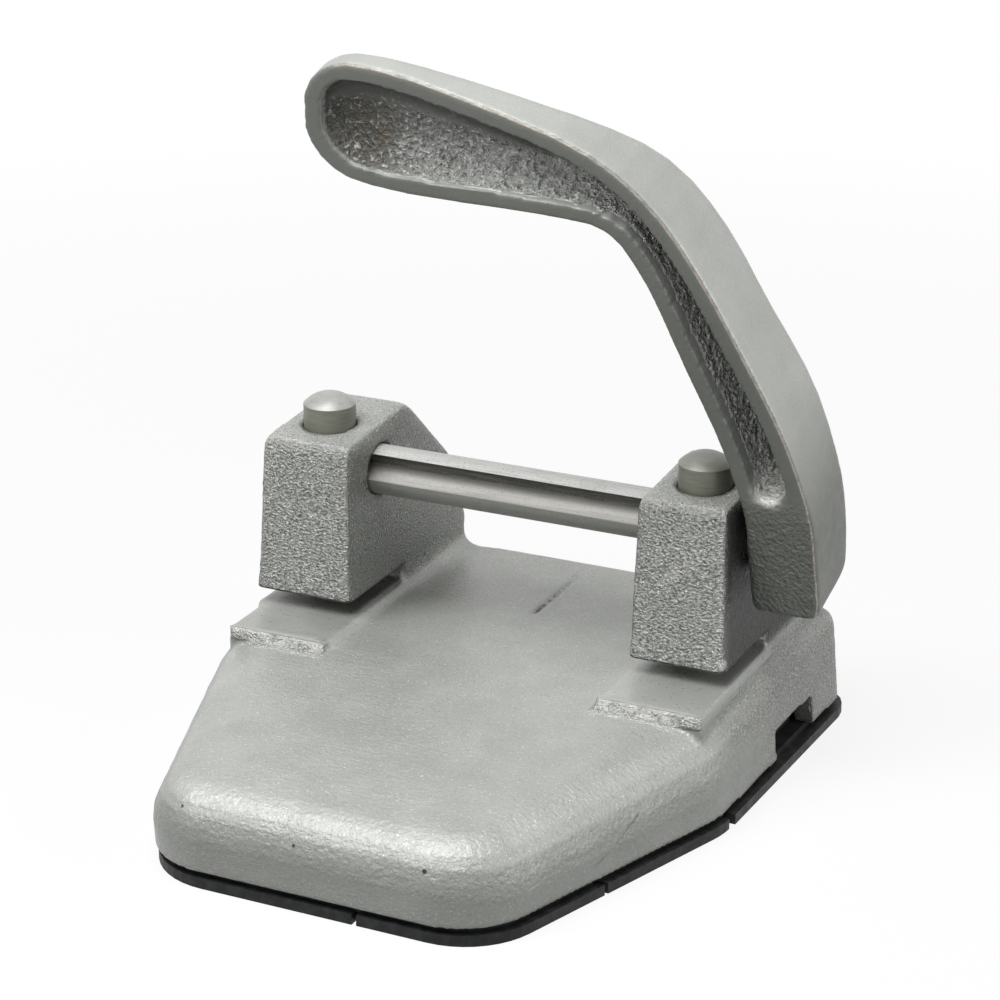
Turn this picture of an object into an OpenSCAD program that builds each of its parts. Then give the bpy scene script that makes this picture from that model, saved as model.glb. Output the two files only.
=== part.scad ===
// Two-hole desk punch, drawn as the separate pieces it is put together from.
// Millimetres, +Z up, +X to the right hand of the person punching, who sits on the -Y side.
// The origin is on the table, midway between the two punch axes.

/* [Paper and holes] */
// distance between the centres of the two holes
hole_spacing = 80; // [76:0.5:90]
// diameter of each hole
hole_d = 6; // [5:0.1:7]
// distance from the edge of the paper to the hole centres
paper_edge = 11; // [9:0.5:14]
// height of the slot the paper slides into
slot_h = 3.2; // [2:0.1:5]

/* [Base casting] */
// front edge of the casting, ahead of the punch axes
base_front = 84.2; // [70:0.5:100]
// rear edge of the casting, behind the punch axes
base_rear = 41.2; // [36:0.2:50]
// ledge of the base outside each post
ledge = 6.2; // [4:0.2:9]
// width the tapering sides would reach at the front edge
nose_w = 67.4; // [54:0.2:80]
// where the sides begin to taper, ahead of the punch axes
taper_start = 24.2; // [18:0.5:34]
// plan radius of the two front corners
nose_r = 15.5; // [14.5:0.5:22]
// height of the deck above the lower edge of the casting
deck_h = 18.2; // [16:0.2:24]
// how far the apron falls towards the front edge
apron_drop = 3; // [1:0.1:5]
// thickness of the casting walls
wall = 4; // [3:0.1:5]
// how far the machined anvil pads stand above the deck
pad_rise = 1.5; // [0.8:0.1:3]
// front edge of the anvil pads, ahead of the punch axes
pad_front = 24.8; // [18:0.2:30]
// radius of the hollow corner between the posts and the deck
deck_fillet_r = 5; // [2:0.5:6]

/* [Posts] */
// width of each post across the slot
post_w = 20.4; // [18:0.1:24]
// front face of the posts, ahead of the punch axes
post_front = 12.3; // [10:0.1:16]
// height of the posts above the slot
post_h = 32.1; // [30:0.1:40]
// how far the front of each post leans back between slot and post top
post_draft = 1.5; // [0.5:0.1:2.5]
// rounding of the post edges
post_edge = 1.7; // [1:0.1:2.6]
// how much further out the foot of the left post stands than that of the right one
left_flare = 1.1; // [0:0.1:2]
// where the top of a post ends, behind the punch axes
post_top_rear = 16; // [13:0.5:20]
// how much higher the rear end of that top is than its front edge
post_rise = 1.9; // [0:0.1:3]
// how much further out the whole outer side of the left post stands than that of the right one
left_extra = 0.9; // [0:0.1:1.5]
// how far the foot of the right post stands in towards the middle
right_toe = 0.6; // [0:0.1:1]

/* [Drive] */
// diameter of the fluted shaft
shaft_d = 10; // [9:0.1:10.6]
// shaft axis behind the punch axes
shaft_back = 2.8; // [2.6:0.1:3]
// shaft axis below the top of the posts
shaft_drop = 8.3; // [8:0.1:10]
// swing of the lever from rest to the bottom of the stroke, degrees
lever_swing = 63; // [50:1:63]

/* [Punches] */
// diameter of the punch bodies
punch_d = 10.4; // [9:0.1:11.4]
// height of the domed punch heads above the posts at rest
head_rise = 7.3; // [6:0.1:9]
// wire of the return springs
spring_wire = 0.9; // [0.6:0.1:1.1]
// working turns of the return springs
spring_turns = 3.5; // [2.5:0.5:4]

/* [Lever] */
// forward lean of the lever at rest, degrees
lever_lean = 16; // [8:1:24]
// flat front of the lever ahead of the shaft axis
lever_front = 8; // [7:0.1:10]
// width of the rim around the hollow front
lever_rim = 3.3; // [2.5:0.1:4]
// part of the lever thickness taken by the hollow
hollow_share = 0.48; // [0.3:0.02:0.6]

/* [Chip tray] */
// height of the tray under the casting
tray_h = 3.35; // [2.6:0.05:5]
// how far the rear lip stands out past the casting
tray_lip = 0.9; // [0.6:0.1:2]
// thickness of the tray walls and floor
tray_wall = 1.3; // [1:0.1:1.8]

/* [Hidden] */
$fn = 64;
seat_gap = 0.05;
run_gap = 0.05;
press_gap = 0.01;
overrun = 1;
cast_z = tray_h + seat_gap;
deck_z = cast_z + deck_h;
anvil_z = deck_z + pad_rise;
slot_z = anvil_z + slot_h;
post_z = slot_z + post_h;
shaft_z = post_z - shaft_drop;
post_x = hole_spacing / 2;
base_half = post_x + post_w / 2 + ledge;
inner_draft = post_draft / 3;
side_toe = 2.2;
bend_r = 20;
tray_clear = 0.9;
rear_r = wall + tray_clear + tray_wall + 0.5;
mark_rear = base_rear - 6;

// drive: a shaft with three flutes works as a pinion against one tooth on each punch
shaft_r = shaft_d / 2;
flutes = 3;
flute_half = 31.2;
flute_rest = 23;
flute_floor = 0.48 * shaft_r;
flute_far = (pow(shaft_r, 2) - pow(flute_floor, 2)) / (shaft_r * cos(flute_half) - flute_floor) / 2;
pitch_r = 0.84 * shaft_r;
stroke = pitch_r * lever_swing * PI / 180;
tooth_r = 0.37 * shaft_r;
tooth_y = shaft_back - 0.94 * shaft_r;
tooth_z = shaft_z + 0.31 * shaft_r;
notch_r = shaft_r + 0.25;
notch_top = shaft_z + stroke + 0.84 * shaft_r;
notch_keep_y = shaft_back + 0.08 * shaft_r;

// punch, its bore and its spring
bore_r = punch_d / 2 + run_gap;
guide_h = 5;
guide_z = slot_z + guide_h;
collar_z = shaft_z - notch_r - 4;
tip_rest = 0.25;
die_r = hole_d / 2 + 0.05;
bush_r = 5;
bush_z = deck_z - wall - 0.5;
spring_r = (punch_d / 2 + hole_d / 2) / 2;

// shaft ends
boss_x = post_x + post_w / 2 - 0.4;
left_boss_x = boss_x + left_extra;
boss_r = 6.2;
washer_t = 0.6;
washer_r = 6.2;
hub_x = boss_x + washer_t + 2 * seat_gap;
hub_w = 13.6;
hub_wall = 3;
shaft_right = hub_x + hub_w - hub_wall - seat_gap;
clip_t = 1;
clip_x = left_boss_x + washer_t + 2 * seat_gap;
clip_groove_r = 0.8 * shaft_r;
shaft_left = clip_x + clip_t + 1.2;
pin_r = 1.5;
pin_back = 10.2;
pin_tip = -5.5;

// unit vector along v
function unit(v) = v / norm(v);

// outward normal of a counter-clockwise outline at a point between p and q
function normal_between(p, q) = let (d = unit(q - p)) [d.y, -d.x];

// points of one rounded corner b between a and c, each as [x, y, normal x, normal y]
function corner(a, b, c, r, steps) =
    let (
        to_a = unit(a - b),
        to_c = unit(c - b),
        half = acos(to_a * to_c) / 2,
        mid = b + unit(to_a + to_c) * r / sin(half),
        n1 = normal_between(a, b),
        n2 = normal_between(b, c),
        start = atan2(n1.y, n1.x),
        sweep = (atan2(n2.y, n2.x) - start + 360) % 360
    )
    [for (i = [0 : steps])
        let (ang = start + sweep * i / steps, n = [cos(ang), sin(ang)])
            [mid.x + r * n.x, mid.y + r * n.y, n.x, n.y]];

// a closed outline with rounded corners; corners are [x, y, radius, steps]
function rounded(corners) =
    let (n = len(corners))
    [for (i = [0 : n - 1])
        let (
            a = corners[(i + n - 1) % n],
            b = corners[i],
            c = corners[(i + 1) % n]
        )
        each corner([a.x, a.y], [b.x, b.y], [c.x, c.y], b[2], b[3])];

// a solid through equal rings of points; each ring is closed by strips between its two halves
module loft(rings) {
    n = len(rings[0]);
    last = (len(rings) - 1) * n;
    sides = [for (k = [0 : len(rings) - 2], i = [0 : n - 1])
        let (a = k * n + i, b = k * n + (i + 1) % n)
            each [[a, a + n, b + n], [a, b + n, b]]];
    caps = [for (j = [0 : n / 2 - 2])
        let (a = j, b = j + 1, c = n - 2 - j, d = n - 1 - j)
            each [[a, b, c], [a, c, d], [last + c, last + b, last + a], [last + d, last + c, last + a]]];
    polyhedron(points = [for (ring = rings) each ring], faces = concat(sides, caps), convexity = 6);
}

// plan of the base, right side first, so that points of the two sides pair up
function plan() =
    rounded([
        [nose_w / 2, -base_front, nose_r, 9],
        [base_half - side_toe, -taper_start, bend_r, 3],
        [base_half, base_rear, rear_r, 5],
        [-base_half, base_rear, rear_r, 5],
        [-base_half + side_toe, -taper_start, bend_r, 3],
        [-nose_w / 2, -base_front, nose_r, 9]
    ]);

// height of the top surface, radius of its shoulder and lean of the walls, by distance from the front
function top_at(y) = deck_z - apron_drop * max(0, -y - taper_start) / (base_front - taper_start);
function shoulder_at(y) =
    lookup(y, [
        [-base_front, 9],
        [-base_front + 24, 14.5],
        [-taper_start, 12.5],
        [0, 5],
        [base_rear - rear_r, 5],
        [base_rear, 1.5]
    ]);
function draft_at(y) = lookup(y, [[-base_front, -0.3], [-taper_start, 0.1], [0, 1.5], [base_rear, 1.2]]);

// one level of the base: lift 0 is the foot of the shoulder, 90 the top surface
function base_ring(inset, drop, lift) =
    [for (p = plan())
        let (
            r = max(shoulder_at(p.y) - inset, 1),
            in = inset + draft_at(p.y) + r * (1 - cos(lift))
        )
        [p.x - p[2] * in, p.y - p[3] * in, top_at(p.y) - drop - r * (1 - sin(lift))]];

// the foot of the base, flat
function foot_ring(inset, z) = [for (p = plan()) [p.x - p[2] * inset, p.y - p[3] * inset, z]];

// a solid the shape of the base, held back by inset and drop
module base_form(inset, drop, z) {
    loft(concat([foot_ring(inset, z)], [for (lift = [0 : 15 : 90]) base_ring(inset, drop, lift)]));
}

// side view of a post, from the front foot round the back to the top
function post_profile() =
    rounded([
        [-post_front, cast_z + wall, post_edge + 1, 1],
        [base_rear, cast_z + wall, post_edge + 1, 1],
        [base_rear, post_z - 0.94 * post_h, 6, 2],
        [base_rear - 6, post_z - 0.48 * post_h, 8, 3],
        [post_top_rear, post_z + post_rise, 6, 3],
        [-post_front, post_z, post_edge + 0.6, 4]
    ]);

// one slice of the right post; side -1 is its inner face, 1 its outer face
function post_slice(side, turn, flare, extra, toe) =
    [for (p = post_profile())
        let (
            in = post_edge * (1 - sin(turn)),
            y = p.x - p[2] * in,
            z = p.y - p[3] * in,
            rise = max(0, z - slot_z) / post_h,
            low = 1 - min(rise, 1),
            lean = side < 0
                ? rise * inner_draft - low * toe
                : rise * post_draft - low * (flare - toe) - extra,
            half = post_w / 2 - post_edge * (1 - cos(turn)) - lean
        )
        [post_x + side * half, y + rise * post_draft * max(0, min(1, -y / post_front)), z]];

module post(flare, extra, toe) {
    loft(concat(
        [for (turn = [0 : 22.5 : 90]) post_slice(-1, turn, flare, extra, toe)],
        [for (turn = [90 : -22.5 : 0]) post_slice(1, turn, flare, extra, toe)]
    ));
}

// machined pad the paper lies on, with the die bush let into it
module anvil_pad() {
    translate([post_x - post_w / 2 - 1, -pad_front, deck_z - wall])
        cube([post_w + 0.8, pad_front + paper_edge + overrun, anvil_z - deck_z + wall]);
}

// hollow corner where the inner face of a post runs into the deck
module deck_fillet(toe) {
    r = deck_fillet_r;
    far = base_rear - 2;
    translate([post_x - post_w / 2 - toe + 0.2, far, deck_z - 0.2])
        rotate([90, 0, 0])
            linear_extrude(height = far - paper_edge)
                difference() {
                    translate([-r, 0])
                        square([r, r]);
                    translate([-r, r])
                        circle(r = r);
                }
}

// everything of the casting that is on the right half, solid
module half_mass(flare, extra, toe) {
    post(flare, extra, toe);
    anvil_pad();
    deck_fillet(toe);
    translate([post_x, shaft_back, shaft_z])
        rotate([0, 90, 0])
            cylinder(r = boss_r, h = boss_x + extra - post_x);
}

// everything that is cut from the right half
module half_cuts() {
    translate([post_x - post_w, -base_front, anvil_z])
        cube([2 * post_w, base_front + paper_edge, slot_h]);
    translate([post_x, 0, guide_z])
        cylinder(r = bore_r, h = post_z);
    translate([post_x, 0, slot_z - overrun])
        cylinder(r = die_r, h = guide_h + 2 * overrun);
    translate([post_x, 0, bush_z - 2 * wall])
        cylinder(r = bush_r + press_gap, h = anvil_z);
    translate([post_x - post_w, shaft_back, shaft_z])
        rotate([0, 90, 0])
            cylinder(r = shaft_r + run_gap, h = 2 * post_w);
}

module frame_casting() {
    notch_front = 3.5;
    notch_len = 18.5;
    notch_h = 6;
    mark_r = 0.7;
    color([0.62, 0.64, 0.62])
        difference() {
            union() {
                base_form(0, 0, cast_z);
                half_mass(0, 0, right_toe);
                mirror([1, 0, 0])
                    half_mass(left_flare, left_extra, 0);
            }
            base_form(wall, wall + 0.5, cast_z - overrun);
            half_cuts();
            mirror([1, 0, 0])
                half_cuts();
            translate([base_half - 2 * wall, notch_front, cast_z - overrun])
                cube([4 * wall, notch_len, notch_h + overrun]);
            translate([0, paper_edge, deck_z + 0.2])
                rotate([-90, 0, 0])
                    cylinder(r = mark_r, h = mark_rear - paper_edge, $fn = 24);
        }
}

// hardened ring under each punch
module die_bush(side) {
    relief_z = bush_z + 2;
    color([0.5, 0.51, 0.52])
        translate([side * post_x, 0, 0])
            difference() {
                translate([0, 0, bush_z])
                    cylinder(r = bush_r, h = anvil_z - bush_z);
                translate([0, 0, bush_z - overrun])
                    cylinder(r = die_r, h = anvil_z);
                translate([0, 0, bush_z - overrun])
                    cylinder(r = die_r + 0.6, h = relief_z - bush_z + overrun);
            }
}

module left_die_bush() {
    die_bush(-1);
}

module right_die_bush() {
    die_bush(1);
}

module pinion_shaft() {
    color([0.66, 0.67, 0.66])
        difference() {
            translate([-shaft_left, shaft_back, shaft_z])
                rotate([0, 90, 0])
                    cylinder(r = shaft_r, h = shaft_left + shaft_right);
            for (k = [0 : flutes - 1]) {
                ang = flute_rest + k * 360 / flutes;
                flute_y = shaft_back - flute_far * cos(ang);
                flute_z = shaft_z + flute_far * sin(ang);
                translate([-shaft_left - overrun, flute_y, flute_z])
                    rotate([0, 90, 0])
                        cylinder(r = flute_far - flute_floor, h = shaft_left + shaft_right + 2 * overrun);
            }
            translate([-clip_x - clip_t - seat_gap, shaft_back, shaft_z])
                rotate([0, 90, 0])
                    difference() {
                        cylinder(r = shaft_r + overrun, h = clip_t + 2 * seat_gap);
                        cylinder(r = clip_groove_r, h = clip_t + 2 * seat_gap);
                    }
            pin_hole();
        }
}

// way of the pin through the hub and the shaft
module pin_hole() {
    translate([hub_x + (hub_w - hub_wall) / 2, shaft_back, shaft_z])
        rotate([lever_lean - 90, 0, 0])
            translate([0, 0, pin_tip])
                cylinder(r = pin_r + press_gap, h = 3 * lever_front);
}

module lever_pin() {
    color([0.45, 0.46, 0.47])
        translate([hub_x + (hub_w - hub_wall) / 2, shaft_back, shaft_z])
            rotate([lever_lean - 90, 0, 0])
                translate([0, 0, pin_tip])
                    cylinder(r = pin_r, h = pin_back - pin_tip);
}

// lever centre line above the shaft axis: [right of hub face, height, width, thickness]
lever_path = [
    [6.7, -9.5, 13.6, 17.8],
    [6.8, 0, 13.6, 19.2],
    [6.4, 11, 13.4, 18.9],
    [2.5, 27, 13.2, 19.4],
    [-3.8, 43.5, 12.4, 18.1],
    [-10.3, 59.5, 11, 17.7],
    [-18, 71, 11.2, 15.6],
    [-30.5, 76.8, 16.8, 10.4],
    [-56, 81.3, 24, 7],
    [-67.5, 83, 25, 6.2]
];
tip_reach = 12;
tip_lift = 1.8;
heel_drop = 3;
hollow_start = 2.35;

// smooth run through the rows of lever_path, u counting rows
function along(u) =
    let (
        top = len(lever_path) - 1,
        i = min(floor(u), top - 1),
        f = u - i,
        a = lever_path[max(i - 1, 0)],
        b = lever_path[i],
        c = lever_path[i + 1],
        d = lever_path[min(i + 2, top)]
    )
    b + f / 2 * (c - a + f * (2 * a - 5 * b + 4 * c - d + f * (3 * (b - c) + d - a)));

// stations up the lever: [x, height, half width, thickness, side direction x, side direction height]
function station(u) =
    let (
        p = along(u),
        d = along(u + 0.05) - along(u - 0.05),
        t = unit([d.x, d.y])
    )
    [p.x, p.y, p[2] / 2, p[3], t.y, -t.x];

// stations of the rounded heel under the shaft
function heel_stations() =
    let (p = station(0.05))
    [for (a = [80 : -20 : 20])
        let (
            height = lever_path[0].y - heel_drop * sin(a),
            half = p[2] * pow(cos(a), 0.16),
            thick = p[3] * (1 - 0.4 * pow(sin(a), 2))
        )
        [p.x, height, half, thick, 1, 0]];

// stations of the rounded tip, held back by inset
function tip_stations(inset) =
    let (
        end = lever_path[len(lever_path) - 1],
        p = station(len(lever_path) - 1.05),
        reach = tip_reach - inset,
        half = p[2] - inset
    )
    [for (a = [15 : 15 : 75])
        [end.x - reach * sin(a), end.y + tip_lift * sin(a), half * pow(cos(a), 0.9), p[3], p[4], p[5]]];

lever_stations = concat(
    heel_stations(),
    [for (u = [0.05 : 0.35 : len(lever_path) - 1]) station(u)],
    tip_stations(0)
);

// stations of the hollow, inset from the lever's edge: a round end above the hub, the arm, the tip
function hollow_stations(inset) =
    let (p = station(hollow_start), reach = p[2] - inset)
    concat(
        [for (a = [75 : -25 : 25])
            let (thick = p[3] * (0.4 + 0.6 * cos(a)))
            [p.x, p.y - reach * sin(a), reach * cos(a), thick, p[4], p[5]]],
        [for (u = [hollow_start : 0.35 : len(lever_path) - 1])
            let (q = station(u))
            [q.x, q.y, q[2] - inset, q[3], q[4], q[5]]],
        tip_stations(inset)
    );

// ring of points: right edges going up, left edges coming down, at one depth
function lever_ring(stations, inset, share, fixed) =
    let (n = len(stations))
    [for (i = [0 : 2 * n - 1])
        let (
            up = i < n,
            s = stations[up ? i : 2 * n - 1 - i],
            half = (s[2] - inset) * (up ? 1 : -1)
        )
        [hub_x + s.x + half * s[4], -lever_front + s[3] * share + fixed, s.y + half * s[5]]];

module lever_body() {
    back_r = 2.6;
    front_r = 0.6;
    back = [for (a = [90 : -22.5 : 0])
        lever_ring(lever_stations, back_r * (1 - cos(a)), 1, -back_r * (1 - sin(a)))];
    front = [lever_ring(lever_stations, 0, 0, front_r), lever_ring(lever_stations, front_r, 0, 0)];
    loft(concat(back, front));
}

// hollow in the front of the lever, its sides drawn in towards the floor
module lever_hollow() {
    floor_in = 1.4;
    side_in = 0.7;
    loft([
        lever_ring(hollow_stations(lever_rim + floor_in), 0, hollow_share, 0),
        lever_ring(hollow_stations(lever_rim + side_in), 0, hollow_share * 0.75, 0),
        lever_ring(hollow_stations(lever_rim), 0, 0, -overrun)
    ]);
}

module lever() {
    color([0.60, 0.62, 0.60])
        difference() {
            translate([0, shaft_back, shaft_z])
                rotate([lever_lean, 0, 0])
                    difference() {
                        lever_body();
                        lever_hollow();
                    }
            translate([hub_x - overrun, shaft_back, shaft_z])
                rotate([0, 90, 0])
                    cylinder(r = shaft_r + press_gap, h = hub_w - hub_wall + overrun);
            // the hub is faced flat where it runs on its washer
            translate([hub_x - hub_w, shaft_back, shaft_z])
                rotate([0, 90, 0])
                    cylinder(r = washer_r + overrun, h = hub_w);
            pin_hole();
        }
}

module thrust_washer(x) {
    translate([x, shaft_back, shaft_z])
        rotate([0, 90, 0])
            difference() {
                cylinder(r = washer_r, h = washer_t);
                translate([0, 0, -overrun])
                    cylinder(r = shaft_r + run_gap, h = washer_t + 2 * overrun);
            }
}

module thrust_washers() {
    color([0.7, 0.7, 0.7]) {
        thrust_washer(boss_x + seat_gap);
        thrust_washer(-left_boss_x - seat_gap - washer_t);
    }
}

// open ring sprung into the groove at the left end of the shaft
module shaft_clip() {
    clip_r = 5.9;
    mouth = 4.4;
    color([0.35, 0.36, 0.37])
        translate([-clip_x - clip_t, shaft_back, shaft_z])
            rotate([0, 90, 0])
                difference() {
                    cylinder(r = clip_r, h = clip_t);
                    translate([0, 0, -overrun])
                        cylinder(r = clip_groove_r + press_gap, h = clip_t + 2 * overrun);
                    translate([-mouth / 2, 0, -overrun])
                        cube([mouth, 2 * clip_r, clip_t + 2 * overrun]);
                }
}

// space in the back of a punch for the shaft, with the tooth left standing
module punch_notch() {
    w = punch_d + 2 * overrun;
    difference() {
        union() {
            for (z = [shaft_z, shaft_z + stroke])
                translate([-w / 2, shaft_back, z])
                    rotate([0, 90, 0])
                        cylinder(r = notch_r, h = w);
            translate([-w / 2, shaft_back - notch_r, shaft_z])
                cube([w, 2 * notch_r, stroke]);
        }
        translate([-w / 2 - overrun, tooth_y, tooth_z])
            rotate([0, 90, 0])
                cylinder(r = tooth_r, h = w + 2 * overrun);
        translate([-w / 2 - overrun, -punch_d, notch_top])
            cube([w + 2 * overrun, punch_d + notch_keep_y, 2 * notch_r]);
    }
}

module punch(side) {
    dome_h = 2.3;
    r = punch_d / 2;
    dome_r = (r * r + dome_h * dome_h) / (2 * dome_h);
    head_z = post_z + head_rise;
    tip_z = slot_z + tip_rest;
    shear_r = 7;
    color([0.72, 0.72, 0.7])
        translate([side * post_x, 0, 0])
            difference() {
                union() {
                    intersection() {
                        translate([0, 0, collar_z])
                            cylinder(r = r, h = head_z - collar_z);
                        translate([0, 0, head_z - dome_r])
                            union() {
                                sphere(r = dome_r);
                                translate([0, 0, -head_z])
                                    cylinder(r = dome_r, h = head_z);
                            }
                    }
                    translate([0, 0, tip_z])
                        cylinder(r = hole_d / 2, h = collar_z - tip_z + overrun);
                }
                punch_notch();
                translate([0, -hole_d, tip_z + 0.6 - shear_r])
                    rotate([-90, 0, 0])
                        cylinder(r = shear_r, h = 2 * hole_d);
            }
}

module left_punch() {
    punch(-1);
}

module right_punch() {
    punch(1);
}

// wire wound between the floor of the bore and the collar of the punch
module return_spring(side) {
    sides = 6;
    per_turn = 10;
    low = guide_z + spring_wire / 2 + seat_gap;
    high = collar_z - spring_wire / 2 - seat_gap;
    pitch = (high - low) / spring_turns;
    echo(str("least gap between the turns of a return spring: ", pitch - spring_wire));
    ring = [for (k = [0 : spring_turns * per_turn])
        let (ang = 360 * k / per_turn)
            [for (j = [0 : sides - 1])
                let (b = 360 * j / sides, r = spring_r + spring_wire / 2 * cos(b))
                    [r * cos(ang), r * sin(ang), low + pitch * k / per_turn + spring_wire / 2 * sin(b)]]];
    color([0.55, 0.56, 0.58])
        translate([side * post_x, 0, 0])
            loft([for (k = [len(ring) - 1 : -1 : 0]) ring[k]]);
}

module left_return_spring() {
    return_spring(-1);
}

module right_return_spring() {
    return_spring(1);
}

// plan of the base moved inwards by inset
module plan_2d(inset) {
    polygon([for (p = plan()) [p.x - p[2] * inset, p.y - p[3] * inset]]);
}

// distance of the tapering side from the middle, at y
function side_at(y) =
    base_half - side_toe
        - (base_half - side_toe - nose_w / 2) * (-y - taper_start) / (base_front - taper_start);

// a flat run of the tray's rim between two distances from the punch axes
module tray_rim(inset, height, from, to) {
    reach = 2 * (base_half + tray_lip);
    intersection() {
        linear_extrude(height = height)
            plan_2d(inset);
        translate([-reach / 2, from, -overrun])
            cube([reach, to - from, height + 2 * overrun]);
    }
}

module chip_tray() {
    collar_in = wall + tray_clear;
    collar_h = 6;
    neck_in = 1.6;
    rim_in = -0.15;
    rim_shift = [0.5, 0.4, 0];
    rim_h = 2.1;
    lip_front = -taper_start + 5;
    rim_gap = 2.6;
    slit = 0.9;
    slit_deep = neck_in + 0.8;
    slit_y = -base_front + 29.6;
    color([0.06, 0.06, 0.06])
        difference() {
            union() {
                linear_extrude(height = tray_h)
                    plan_2d(neck_in);
                linear_extrude(height = tray_h + collar_h)
                    plan_2d(collar_in);
                translate(rim_shift)
                    tray_rim(rim_in, rim_h, -2 * base_front, lip_front - rim_gap);
                tray_rim(-tray_lip, rim_h, lip_front, 2 * base_rear);
            }
            translate([0, 0, tray_wall])
                linear_extrude(height = tray_h + collar_h)
                    plan_2d(collar_in + tray_wall);
            translate([nose_w / 8, -base_front - overrun, -overrun])
                cube([slit, slit_deep + overrun, rim_h + overrun]);
            for (side = [-1, 1])
                translate([side * (side_at(slit_y) - slit_deep + wall), slit_y, rim_h / 2])
                    cube([2 * wall, slit, rim_h + 2 * overrun], center = true);
        }
}

frame_casting();
left_die_bush();
right_die_bush();
pinion_shaft();
lever();
lever_pin();
thrust_washers();
shaft_clip();
left_punch();
right_punch();
left_return_spring();
right_return_spring();
chip_tray();
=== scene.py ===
# %% [markdown]
# # A cast two-hole punch in silver paint
# This lesson dresses the solids of a heavy office punch: a painted iron casting with two posts, a painted
# lever, two steel punches worked by a fluted shaft, and a black plastic chip tray underneath. The solids
# already have the right shapes and places. What they lack is what sand casting, paint and years of use leave
# behind, and that is what Blender adds here, cell by cell.

# %% Load the solids and keep their box
import math
import bpy
import numpy as np
from mathutils import Matrix, Vector, noise
from mathutils.bvhtree import BVHTree
from mathutils.kdtree import KDTree


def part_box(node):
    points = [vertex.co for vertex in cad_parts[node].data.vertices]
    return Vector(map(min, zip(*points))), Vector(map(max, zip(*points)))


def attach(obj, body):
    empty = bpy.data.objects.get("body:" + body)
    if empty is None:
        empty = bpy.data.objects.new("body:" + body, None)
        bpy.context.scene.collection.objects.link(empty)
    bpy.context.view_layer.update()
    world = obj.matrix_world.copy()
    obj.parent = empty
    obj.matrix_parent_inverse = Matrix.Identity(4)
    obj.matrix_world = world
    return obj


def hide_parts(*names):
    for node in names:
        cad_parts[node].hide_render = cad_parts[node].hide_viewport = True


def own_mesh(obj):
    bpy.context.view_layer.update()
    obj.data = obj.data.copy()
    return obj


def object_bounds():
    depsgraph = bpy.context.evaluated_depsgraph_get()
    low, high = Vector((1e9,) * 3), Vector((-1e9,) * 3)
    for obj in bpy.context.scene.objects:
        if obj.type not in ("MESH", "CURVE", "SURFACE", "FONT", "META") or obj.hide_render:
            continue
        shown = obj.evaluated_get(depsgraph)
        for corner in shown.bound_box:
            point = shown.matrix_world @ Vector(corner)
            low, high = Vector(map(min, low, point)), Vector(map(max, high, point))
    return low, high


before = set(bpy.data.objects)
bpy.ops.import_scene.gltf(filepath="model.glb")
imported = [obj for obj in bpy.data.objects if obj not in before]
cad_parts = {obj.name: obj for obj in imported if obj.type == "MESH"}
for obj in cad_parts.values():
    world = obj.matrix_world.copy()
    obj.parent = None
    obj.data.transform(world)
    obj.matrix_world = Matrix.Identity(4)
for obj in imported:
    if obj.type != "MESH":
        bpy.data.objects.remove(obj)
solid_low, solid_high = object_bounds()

mm = 0.001
print("solids span", [round(side / mm, 1) for side in solid_high - solid_low], "mm")

# %% [markdown]
# ## Where things are
# A few heights and places are read from the solids, so that the finish follows them. The die bushes end
# flush with the machined pads, the punches stand over them, and the casting's own box gives its foot. No box
# shows the height of the slot, the front edge of the pads, the axis of the shaft, the groove in the deck or
# the lean of the lever, so these are written here once.

# %% Heights and places on the casting
foot_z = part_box("frame_casting")[0].z
pad_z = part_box("right_die_bush")[1].z
punch_low, punch_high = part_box("right_punch")
punch_x = (punch_low.x + punch_high.x) / 2
punch_r = (punch_high.x - punch_low.x) / 2
print("pads at", round(pad_z / mm, 2), "mm, punches at", round(punch_x / mm, 2), "mm from the middle")

slot_roof = pad_z + 3.2 * mm
deck_z = pad_z - 1.5 * mm
pad_front = -24.8 * mm
shaft_y, shaft_z = 2.8 * mm, 50.1 * mm
shaft_r = 5 * mm
groove_front, groove_rear, groove_depth = 10.5 * mm, 34 * mm, 0.55 * mm
lever_lean = math.radians(16)
lever_face = -8 * mm

# %% [markdown]
# ## An even skin over a solid
# A sand casting is never quite flat: every face carries the print of the sand and a few thick coats of paint.
# A bump map alone would leave the outline ruler-straight, so the two castings get a real skin. A copy of the
# solid is remeshed into even quads, about half a millimetre across, whose points can then be moved a little.
# Even quads matter, because the solid's own faces are long slivers with no points where the grain should be.

# %% Remesh a copy of a solid
def even_quads(skin, grid):
    """Lay a piece over with even quads, the grid apart."""
    remesh = skin.modifiers.new("even quads", "REMESH")
    remesh.mode = "VOXEL"
    remesh.voxel_size = grid
    mesh = bpy.data.meshes.new_from_object(skin.evaluated_get(bpy.context.evaluated_depsgraph_get()))
    skin.modifiers.clear()
    skin.data = mesh
    mesh.materials.clear()
    mesh.polygons.foreach_set("use_smooth", np.ones(len(mesh.polygons), bool))
    print(skin.name, "has", len(mesh.vertices), "points")


def even_skin(node, name, grid):
    """A new object with the solid's shape, laid over with even quads."""
    skin = bpy.data.objects.new(name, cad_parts[node].data.copy())
    bpy.context.scene.collection.objects.link(skin)
    even_quads(skin, grid)
    return skin


casting_grid, lever_grid = 0.5 * mm, 0.42 * mm
casting = even_skin("frame_casting", "cast_frame", casting_grid)
lever = even_skin("lever", "cast_lever", lever_grid)

# %% [markdown]
# ## Reading and moving points
# Moving a hundred thousand points one at a time is slow, so they go into arrays. `ease` smooths the steps
# that the remesh leaves. Plain smoothing shrinks a shape, so each step inwards is followed by one outwards,
# and its weight says where: machined faces and bores keep their crispness. `soften` has no step outwards, for
# the inner corners that metal fills. `lumps` gives smooth noise at each point, and `ramp` fades from nothing
# to full between two values.

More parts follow.
